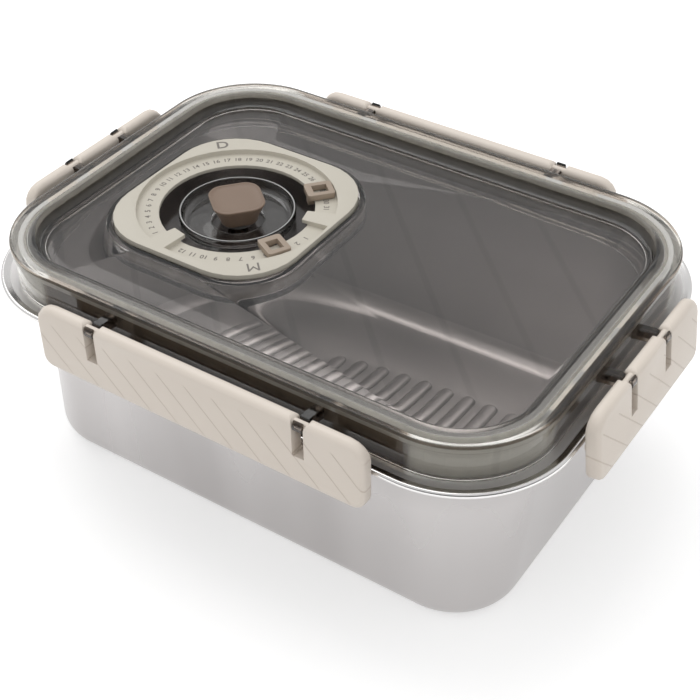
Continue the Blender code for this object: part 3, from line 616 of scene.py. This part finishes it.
clear_lid = smoky_plastic("smoky_clear_lid", (1.0, 1.0, 1.0))
nodes, links, shader = nodes_of(clear_lid)
plain_colour = shader.inputs["Base Color"].links[0].from_socket
painted = nodes.new("ShaderNodeAttribute")
painted.attribute_name = "tint_and_painted_shade"
tinted = add_mix(nodes, links, 'MULTIPLY', 1.0, plain_colour, painted.outputs["Color"])
links.new(add_range(nodes, links, painted.outputs["Alpha"], SATIN, GLOSSY), shader.inputs["Roughness"])
coordinates = nodes.new("ShaderNodeTexCoord")
parts = nodes.new("ShaderNodeSeparateXYZ")
links.new(coordinates.outputs["Object"], parts.inputs["Vector"])
slanted = add_math(nodes, links, 'ADD', parts.outputs["X"], parts.outputs["Y"])
from_start = add_math(nodes, links, 'SUBTRACT', slanted, STRIP_START)
from_strip = line_distance(nodes, links, from_start, STRIP_PITCH)
strip = add_range(nodes, links, from_strip, 1.0, 0.0, STRIP_WIDTH / 2, STRIP_WIDTH / 2 + STRIP_EDGE)
striped = add_mix(nodes, links, 'MULTIPLY', strip, tinted, STRIP_TINT)
links.new(striped, shader.inputs["Base Color"])

inner_face = SKIRT_OFFSET - SKIRT_WALL
ceiling = LID_TOP - LID_WALL
lid_profile = arc((-BAND_WIDTH - PANEL_SHOULDER - PANEL_FILLET, PANEL_TOP + PANEL_FILLET),
                  PANEL_FILLET, -90, -20, 8)
lid_profile += arc((-BAND_WIDTH, LID_TOP - PANEL_SHOULDER), PANEL_SHOULDER, 160, 90, 5)
lid_profile += arc((LIP_OFFSET - LIP_ROUNDING, LID_TOP - LIP_ROUNDING), LIP_ROUNDING, 90, 0, 6)
lid_profile += arc((LIP_OFFSET - SOFT_EDGE, LIP_FOOT + SOFT_EDGE), SOFT_EDGE, 0, -90, 3)
lid_profile += arc((SKIRT_OFFSET + SOFT_EDGE, LIP_FOOT - SOFT_EDGE), SOFT_EDGE, 90, 180, 3)
lid_profile += arc((SKIRT_OFFSET - SOFT_EDGE, SKIRT_BOTTOM + SOFT_EDGE), SOFT_EDGE, 0, -90, 3)
lid_profile += arc((inner_face + SOFT_EDGE, SKIRT_BOTTOM + SOFT_EDGE), SOFT_EDGE, -90, -180, 3)
lid_profile += [(inner_face, ceiling), (GUIDE_OFFSET, ceiling)]
well_profile = arc((-WELL_ROUNDING, WELL_FLOOR + WELL_ROUNDING), WELL_ROUNDING, -90, 0, 4)
well_profile += arc((SOFT_EDGE, PANEL_TOP - SOFT_EDGE), SOFT_EDGE, 180, 90, 3)
well_profile += [(SEAM_WIDTH, PANEL_TOP), (SEAM_WIDTH + SOFT_EDGE, PANEL_TOP)]
well_underside = WELL_FLOOR - WELL_WALL
well_outside = arc((WELL_WALL - WELL_ROUNDING, well_underside + WELL_ROUNDING), WELL_ROUNDING, 0, -90, 4)
lid_sections = [dial_circle(VENT_RADIUS, WELL_FLOOR)]
lid_sections += [well_section(offset, height) for offset, height in well_profile]
lid_sections += [edge_section(offset, height) for offset, height in lid_profile]
guide_inner = GUIDE_OFFSET - GUIDE_WALL
for offset in (GUIDE_OFFSET, guide_inner):
    lid_sections.append(edge_section(offset, GUIDE_BOTTOM, MOUTH_CORNER + offset - MOUTH_OFFSET))
panel_underside = PANEL_TOP - LID_WALL
lid_sections.append(edge_section(guide_inner - SOFT_EDGE, panel_underside - LID_WALL / 2))
lid_sections.append(edge_section(guide_inner - LID_WALL, panel_underside))
lid_sections.append(well_section(WELL_WALL, panel_underside))
lid_sections += [well_section(offset, height) for offset, height in well_outside]
lid_sections.append(dial_circle(VENT_RADIUS, well_underside))

lid_bmesh = bmesh.new()
lid_start = start_ring(lid_bmesh)
lay_ring(lid_start, *lid_sections[0])
lid_end = draw_through(lid_bmesh, lid_start, lid_sections[1:])
bmesh.ops.bridge_loops(lid_bmesh, edges=ring_edges(lid_bmesh, lid_start) + ring_edges(lid_bmesh, lid_end))
tint_and_shade_layer = lid_bmesh.verts.layers.float_color.new("tint_and_painted_shade")
for point in lid_bmesh.verts:
    point[tint_and_shade_layer] = tint_of(point.co)


def keep_flats(piece):
    """Shade large faces flat and only the narrow ones between them round."""
    shading = piece.modifiers.new("Even shading", 'WEIGHTED_NORMAL')
    shading.weight = 90
    shading.keep_sharp = True


lid = finish_piece("clear_lid_moulding", lid_bmesh, clear_lid)
keep_flats(lid)
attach(lid, "cover")
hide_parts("lid")

# Hooks: eight J-shaped hooks on the skirt, of one piece with the lid. Each
# lies open upwards round the hinge bar of a latch.
PIVOT_REACH = 9.4 * MM
PIVOT_HEIGHT = LID_TOP - 4.1 * MM
HOOK_INSIDE = 1.5 * MM
HOOK_WALL = 1.1 * MM
HOOK_WIDTH = 3.4 * MM
HOOK_TIP = 55.0
HOOK_SWEEP = 265.0
HOOK_STEPS = 20
ARM_SWEEP = (150.0, 245.0)
ARM_FOOT = LID_TOP - 7.8 * MM
ARM_HEIGHT = 4.1 * MM
LONG_HOOK_X = 39.5 * MM
SHORT_HOOK_X = 12.3 * MM


def add_hook(bm, half_depth, turn, hook_x):
    """Sweep one hook round its pivot, pull its arm into the skirt and place it."""
    pivot = Vector((0.0, -half_depth - PIVOT_REACH, PIVOT_HEIGHT))
    tip = Matrix.Translation(pivot) @ Matrix.Rotation(math.radians(-HOOK_TIP), 4, 'X')
    tip = tip @ Matrix.Translation((0.0, -HOOK_INSIDE - HOOK_WALL / 2, 0.0))
    tip = tip @ Matrix.Diagonal((HOOK_WIDTH, HOOK_WALL, 1, 1))
    before = set(bm.verts)
    corners = bmesh.ops.create_grid(bm, x_segments=1, y_segments=1, size=0.5, matrix=tip)["verts"]
    end_face = corners[0].link_faces[0]
    bmesh.ops.spin(bm, geom=[end_face, *end_face.edges, *end_face.verts], cent=pivot,
                   axis=(1, 0, 0), angle=math.radians(HOOK_SWEEP), steps=HOOK_STEPS)
    arm_faces = []
    for face in bm.faces:
        centre = face.calc_center_median() - pivot
        around = math.degrees(math.atan2(centre.z, -centre.y)) % 360
        outside = math.hypot(centre.y, centre.z) > HOOK_INSIDE + 0.9 * HOOK_WALL
        faces_out = outside and abs(face.normal.x) < 0.5 and ARM_SWEEP[0] < around < ARM_SWEEP[1]
        if faces_out and face.verts[0] not in before:
            arm_faces.append(face)
    arm = bmesh.ops.extrude_face_region(bm, geom=arm_faces)["geom"]
    bmesh.ops.delete(bm, geom=arm_faces, context='FACES')
    arm_ends = [item for item in arm if isinstance(item, bmesh.types.BMVert)]
    highest = max(point.co.z for point in arm_ends)
    lowest = min(point.co.z for point in arm_ends)
    for point in arm_ends:
        share = (point.co.z - lowest) / (highest - lowest)
        point.co.y = -half_depth - SKIRT_OFFSET + SOFT_EDGE
        point.co.z = ARM_FOOT + ARM_HEIGHT * share
    made = [point for point in bm.verts if point not in before]
    place = Matrix.Rotation(math.radians(turn), 4, 'Z') @ Matrix.Translation((hook_x, 0, 0))
    bmesh.ops.transform(bm, matrix=place, verts=made)


def round_edges(piece, width, segments, limit=35.0):
    """Round a piece's edges and keep its faces flat."""
    rounding = piece.modifiers.new("Rounded edges", 'BEVEL')
    rounding.width = width
    rounding.segments = segments
    rounding.limit_method = 'ANGLE'
    rounding.angle_limit = math.radians(limit)
    rounding.harden_normals = True


hooks_bmesh = bmesh.new()
for half_depth, turns, spread in ((EDGE_HALF_WIDTH, (0, 180), LONG_HOOK_X),
                                  (EDGE_HALF_LENGTH, (90, 270), SHORT_HOOK_X)):
    for turn in turns:
        for hook_x in (spread, -spread):
            add_hook(hooks_bmesh, half_depth, turn, hook_x)
# The hooks are tinted far darker than the lid they belong to, as painted shade inside the latches.
hooks = finish_piece("lid_hooks", hooks_bmesh, smoky_plastic("smoky_hooks", (0.22, 0.18, 0.15), 0.06))
round_edges(hooks, width=0.25 * MM, segments=2, limit=50.0)
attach(hooks, "cover")

# Dial plate: cream moulded plate, pushed into the well. The ring with the
# numbers is sunk between two tabs, and all edges are softly rounded.
COPY_JOIN = 0.002 * MM
COPY_FLAT = 1.0


def soft_copy(node, name, material, width, segments):
    """Copy of a CAD node with its faces joined and its edges rounded."""
    copy = bmesh.new()
    copy.from_mesh(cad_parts[node].data)
    bmesh.ops.remove_doubles(copy, verts=copy.verts, dist=COPY_JOIN)
    bmesh.ops.dissolve_limit(copy, angle_limit=math.radians(COPY_FLAT), verts=copy.verts, edges=copy.edges)
    piece = finish_piece(name, copy, material)
    round_edges(piece, width, segments)
    return piece


cream = new_moulding("cream_plastic", dark=(0.53, 0.495, 0.42), light=(0.565, 0.53, 0.455),
                     roughness=0.42, grain_size=0.35 * MM, depth=0.006 * MM)
plate = soft_copy("dial_plate", "date_plate", cream, width=0.6 * MM, segments=4)
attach(plate, "cover")
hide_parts("dial_plate")

# Date print: the numbers of the days and of the months on the sunk ring and the
# letters D and M on the rim, stamped in dark ink. Angles are in degrees, and
# the first ten days stand closer together than the others.
NUMBER_RADIUS = 31.0 * MM
NUMBER_HEIGHT = 1.9 * MM
LETTER_RADIUS = 38.7 * MM
LETTER_HEIGHT = 4.4 * MM
NUMBER_RING_TOP = LID_TOP - 5.2 * MM
PLATE_TOP = LID_TOP - 3.3 * MM
DAY_LETTER_ANGLE = 135.0
MONTH_LETTER_ANGLE = 315.0
DAY_COUNT = 31
CLOSE_DAYS = 10
FIRST_DAY_ANGLE = 243.3
LAST_CLOSE_ANGLE = 185.4
LAST_DAY_ANGLE = 31.3
MONTH_COUNT = 12
FIRST_MONTH_ANGLE = 355.2
LAST_MONTH_ANGLE = 270.8
CAPITAL_SHARE = 0.69
STROKE_SHARE = 0.025
INK_THICKNESS = 0.01 * MM
INK_LIFT = 0.02 * MM

marks = [("D", DAY_LETTER_ANGLE, LETTER_RADIUS, LETTER_HEIGHT, PLATE_TOP),
         ("M", MONTH_LETTER_ANGLE, LETTER_RADIUS, LETTER_HEIGHT, PLATE_TOP)]
for day in range(1, DAY_COUNT + 1):
    if day <= CLOSE_DAYS:
        angle = part_way(FIRST_DAY_ANGLE, LAST_CLOSE_ANGLE, (day - 1) / (CLOSE_DAYS - 1))
    else:
        share = (day - CLOSE_DAYS) / (DAY_COUNT - CLOSE_DAYS)
        angle = part_way(LAST_CLOSE_ANGLE, LAST_DAY_ANGLE, share)
    marks.append((str(day), angle, NUMBER_RADIUS, NUMBER_HEIGHT, NUMBER_RING_TOP))
for month in range(1, MONTH_COUNT + 1):
    angle = part_way(FIRST_MONTH_ANGLE, LAST_MONTH_ANGLE, (month - 1) / (MONTH_COUNT - 1))
    marks.append((str(month), angle, NUMBER_RADIUS, NUMBER_HEIGHT, NUMBER_RING_TOP))


def print_mark(bm, words, angle, radius, height, base):
    """Print one number or letter at its angle on the dial."""
    line = bpy.data.curves.new("mark", 'FONT')
    line.body = words
    line.size = height / CAPITAL_SHARE
    line.align_x = 'CENTER'
    line.align_y = 'CENTER'
    line.resolution_u = 4
    line.extrude = INK_THICKNESS
    # The letter M fills up when its strokes are thickened.
    if words != "M":
        line.offset = STROKE_SHARE * height
    drawing = bpy.data.objects.new("mark", line)
    bpy.context.scene.collection.objects.link(drawing)
    bpy.context.view_layer.update()
    shape = bpy.data.meshes.new_from_object(drawing.evaluated_get(bpy.context.evaluated_depsgraph_get()))
    bpy.data.objects.remove(drawing, do_unlink=True)
    bpy.data.curves.remove(line)
    turn = math.radians(angle)
    place = Matrix.Translation((DIAL_X + radius * math.cos(turn), radius * math.sin(turn), base + INK_LIFT))
    shape.transform(place @ Matrix.Rotation(turn - math.pi / 2, 4, 'Z'))
    bm.from_mesh(shape)
    bpy.data.meshes.remove(shape)


print_bmesh = bmesh.new()
for mark in marks:
    print_mark(print_bmesh, *mark)
ink = new_moulding("date_ink", dark=(0.15, 0.135, 0.12), light=(0.22, 0.20, 0.18),
                   roughness=0.6, grain_size=0.3 * MM, depth=0.004 * MM)
date_print = finish_piece("date_print", print_bmesh, ink)
date_print.data.shade_flat()
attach(date_print, "cover")

# Vent cup: a clear turned dish on the floor of the well, with a thin rim and a
# rounded corner between its wall and its floor. The top of the rim is an opaque
# grey band, a painted highlight.
CUP_RADIUS = 20.5 * MM
CUP_WALL = 1.1 * MM
CUP_RIM_TOP = LID_TOP - 5.6 * MM
CUP_RIM_DEPTH = 0.08 * MM
CUP_FOOT = WELL_FLOOR + 0.3 * MM
CUP_FLOOR_TOP = WELL_FLOOR + 1.6 * MM
CUP_BORE = 9.4 * MM
CUP_EDGE = 0.3 * MM
CUP_FILLET = 2.6 * MM

cup_plastic = smoky_plastic("clear_dish", (0.62, 0.61, 0.60), 0.02, refraction=1.6)
# Opaque grey band on the rim's top: a painted highlight.
cup_rim_highlight = new_moulding("painted_cup_rim_highlight", dark=(0.30, 0.30, 0.295), light=(0.42, 0.42, 0.41),
                       roughness=0.15, grain_size=0.3 * MM, depth=0.002 * MM)
cup_profile = arc((CUP_BORE + CUP_EDGE, CUP_FLOOR_TOP - CUP_EDGE), CUP_EDGE, 180, 90, 3)
cup_profile += arc((CUP_RADIUS - CUP_WALL - CUP_FILLET, CUP_FLOOR_TOP + CUP_FILLET), CUP_FILLET, -90, 0, 8)
cup_profile += arc((CUP_RADIUS - CUP_WALL / 2, CUP_RIM_TOP - CUP_WALL / 2), CUP_WALL / 2, 180, 0, 8)
cup_profile += arc((CUP_RADIUS - CUP_FILLET, CUP_FOOT + CUP_FILLET), CUP_FILLET, 0, -90, 8)
cup_profile += [(CUP_BORE, CUP_FOOT)]
cup_bmesh = bmesh.new()
cup_start = start_ring(cup_bmesh)
lay_ring(cup_start, *dial_circle(*cup_profile[0]))
cup_end = draw_through(cup_bmesh, cup_start, [dial_circle(*point) for point in cup_profile[1:]])
bmesh.ops.bridge_loops(cup_bmesh, edges=ring_edges(cup_bmesh, cup_start) + ring_edges(cup_bmesh, cup_end))
cup = finish_piece("clear_cup", cup_bmesh, cup_plastic)
cup.data.materials.append(cup_rim_highlight)
for face in cup.data.polygons:
    if face.center.z > CUP_RIM_TOP - CUP_RIM_DEPTH:
        face.material_index = 1
keep_flats(cup)
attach(cup, "cover")
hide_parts("vent_cup")

# Vent plug: a beige moulded knob with a dished top and a fine raised rim. Its
# stem goes through the vent hole and ends in a barb.
KNOB_HALF = 9.2 * MM
KNOB_CORNER = 5.6 * MM
KNOB_TURN = -41.0
KNOB_TOP = LID_TOP - 1.4 * MM
KNOB_BASE = WELL_FLOOR + 1.8 * MM
STEM_RADIUS = 3.0 * MM
STEM_EDGE = 0.3 * MM
BARB_TOP = WELL_FLOOR - 5.3 * MM
BARB_BOTTOM = BARB_TOP - 1.3 * MM
BARB_RADIUS = 4.0 * MM
SHARP_TURN = 60.0
# Shares of the knob's width and of its height, from the foot to the dished top.
KNOB_OUTLINE = ((0.56, 0.0), (0.66, 0.03), (0.70, 0.10), (0.74, 0.25), (0.80, 0.45), (0.87, 0.64),
                (0.94, 0.80), (0.985, 0.90), (1.0, 0.95), (1.0, 0.975), (0.985, 1.0), (0.955, 1.0),
                (0.935, 0.985), (0.90, 0.95), (0.80, 0.925), (0.55, 0.905))

# The knob's beige is painted darker than the sliders', as shade on the knob.
shaded_plug_beige = new_moulding("shaded_plug_beige", dark=(0.20, 0.137, 0.098), light=(0.225, 0.157, 0.113),
                          roughness=0.45, grain_size=0.35 * MM, depth=0.008 * MM)
knob_sections = [dial_circle(STEM_RADIUS - STEM_EDGE, BARB_BOTTOM), dial_circle(BARB_RADIUS, BARB_TOP),
                 dial_circle(STEM_RADIUS, BARB_TOP), dial_circle(STEM_RADIUS, KNOB_BASE - STEM_EDGE)]
for width_share, height_share in KNOB_OUTLINE:
    knob_sections.append((KNOB_HALF * width_share, KNOB_HALF * width_share, KNOB_CORNER * width_share,
                          part_way(KNOB_BASE, KNOB_TOP, height_share), DIAL_X))
knob_bmesh = bmesh.new()
knob_start = start_ring(knob_bmesh)
lay_ring(knob_start, *knob_sections[0])
knob_end = draw_through(knob_bmesh, knob_start, knob_sections[1:])
for ring in (knob_start, knob_end):
    bmesh.ops.edgeloop_fill(knob_bmesh, edges=ring_edges(knob_bmesh, ring))
to_dial = Matrix.Translation((DIAL_X, 0, 0))
about_dial = to_dial @ Matrix.Rotation(math.radians(KNOB_TURN), 4, 'Z') @ to_dial.inverted()
bmesh.ops.transform(knob_bmesh, verts=knob_bmesh.verts, matrix=about_dial)
knob = finish_piece("vent_plug", knob_bmesh, shaded_plug_beige)
knob.data.set_sharp_from_angle(angle=math.radians(SHARP_TURN))
keep_flats(knob)
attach(knob, "vent")
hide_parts("vent_knob")

# Sliders: two small beige moulded frames, clipped over the edge of the sunk
# ring. One marks the day and the other the month.
slider_beige = new_moulding("slider_beige", dark=(0.33, 0.26, 0.20), light=(0.36, 0.285, 0.22),
                            roughness=0.45, grain_size=0.35 * MM, depth=0.008 * MM)
for node, name, body in (("day_slider", "day_frame", "day_marker"),
                         ("month_slider", "month_frame", "month_marker")):
    slider = soft_copy(node, name, slider_beige, width=0.25 * MM, segments=3)
    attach(slider, body)
    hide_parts(node)

# Latches: cream moulded bars with a rolled top, hollow behind. Fine slanted
# grooves cross each face, painted darker as shade in them, and the edges are
# softly rounded. The pattern follows each latch's face map, which is in
# millimetres.
GROOVE_PITCH = 10.65
GROOVE_WIDTH = 0.45
GROOVE_START = LID_TOP / MM - 9.5
GROOVE_DEPTH = 0.12 * MM
GROOVE_SHADE = (0.82, 0.79, 0.76, 1)
FIELD_TOP = LID_TOP / MM - 8.0
FIELD_BOTTOM = LID_TOP / MM - 24.0
FIELD_FADE = 1.0

latch_plastic = new_moulding("latch_plastic", dark=(0.72, 0.645, 0.57), light=(0.76, 0.685, 0.605),
                             roughness=0.42, grain_size=0.35 * MM, depth=0.006 * MM)
nodes, links, shader = nodes_of(latch_plastic)
face_map = nodes.new("ShaderNodeUVMap")
face_map.uv_map = "face_map"
parts = nodes.new("ShaderNodeSeparateXYZ")
links.new(face_map.outputs["UV"], parts.inputs["Vector"])
height = parts.outputs["Y"]
slanted = add_math(nodes, links, 'ADD', parts.outputs["X"], height)
from_start = add_math(nodes, links, 'SUBTRACT', slanted, GROOVE_START)
from_groove = line_distance(nodes, links, from_start, GROOVE_PITCH)
grooves = add_range(nodes, links, from_groove, 1.0, 0.0, 0.0, GROOVE_WIDTH)
under_top = add_range(nodes, links, height, 1.0, 0.0, FIELD_TOP, FIELD_TOP + FIELD_FADE)
over_foot = add_range(nodes, links, height, 0.0, 1.0, FIELD_BOTTOM - FIELD_FADE, FIELD_BOTTOM)
for limit in (under_top, over_foot):
    grooves = add_math(nodes, links, 'MULTIPLY', grooves, limit)
plain_colour = shader.inputs["Base Color"].links[0].from_socket
# Painted shade in the grooves.
grooved = add_mix(nodes, links, 'MULTIPLY', grooves, plain_colour, GROOVE_SHADE)
links.new(grooved, shader.inputs["Base Color"])
grain_bump = shader.inputs["Normal"].links[0].from_node
groove_bump = add_bump(nodes, links, grooves, GROOVE_DEPTH, shader)
groove_bump.invert = True
links.new(grain_bump.outputs["Normal"], groove_bump.inputs["Normal"])

for side, turn in (("front", 0), ("right", 90), ("back", 180), ("left", 270)):
    latch = soft_copy("latch_" + side, side + "_latch", latch_plastic, width=0.3 * MM, segments=2)
    unturned = Matrix.Rotation(math.radians(-turn), 3, 'Z')
    latch_mesh = latch.data
    face_layer = latch_mesh.uv_layers.new(name="face_map")
    for loop in latch_mesh.loops:
        place = unturned @ latch_mesh.vertices[loop.vertex_index].co
        face_layer.data[loop.index].uv = (place.x / MM, place.z / MM)
    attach(latch, side + "_latch")
    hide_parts("latch_" + side)
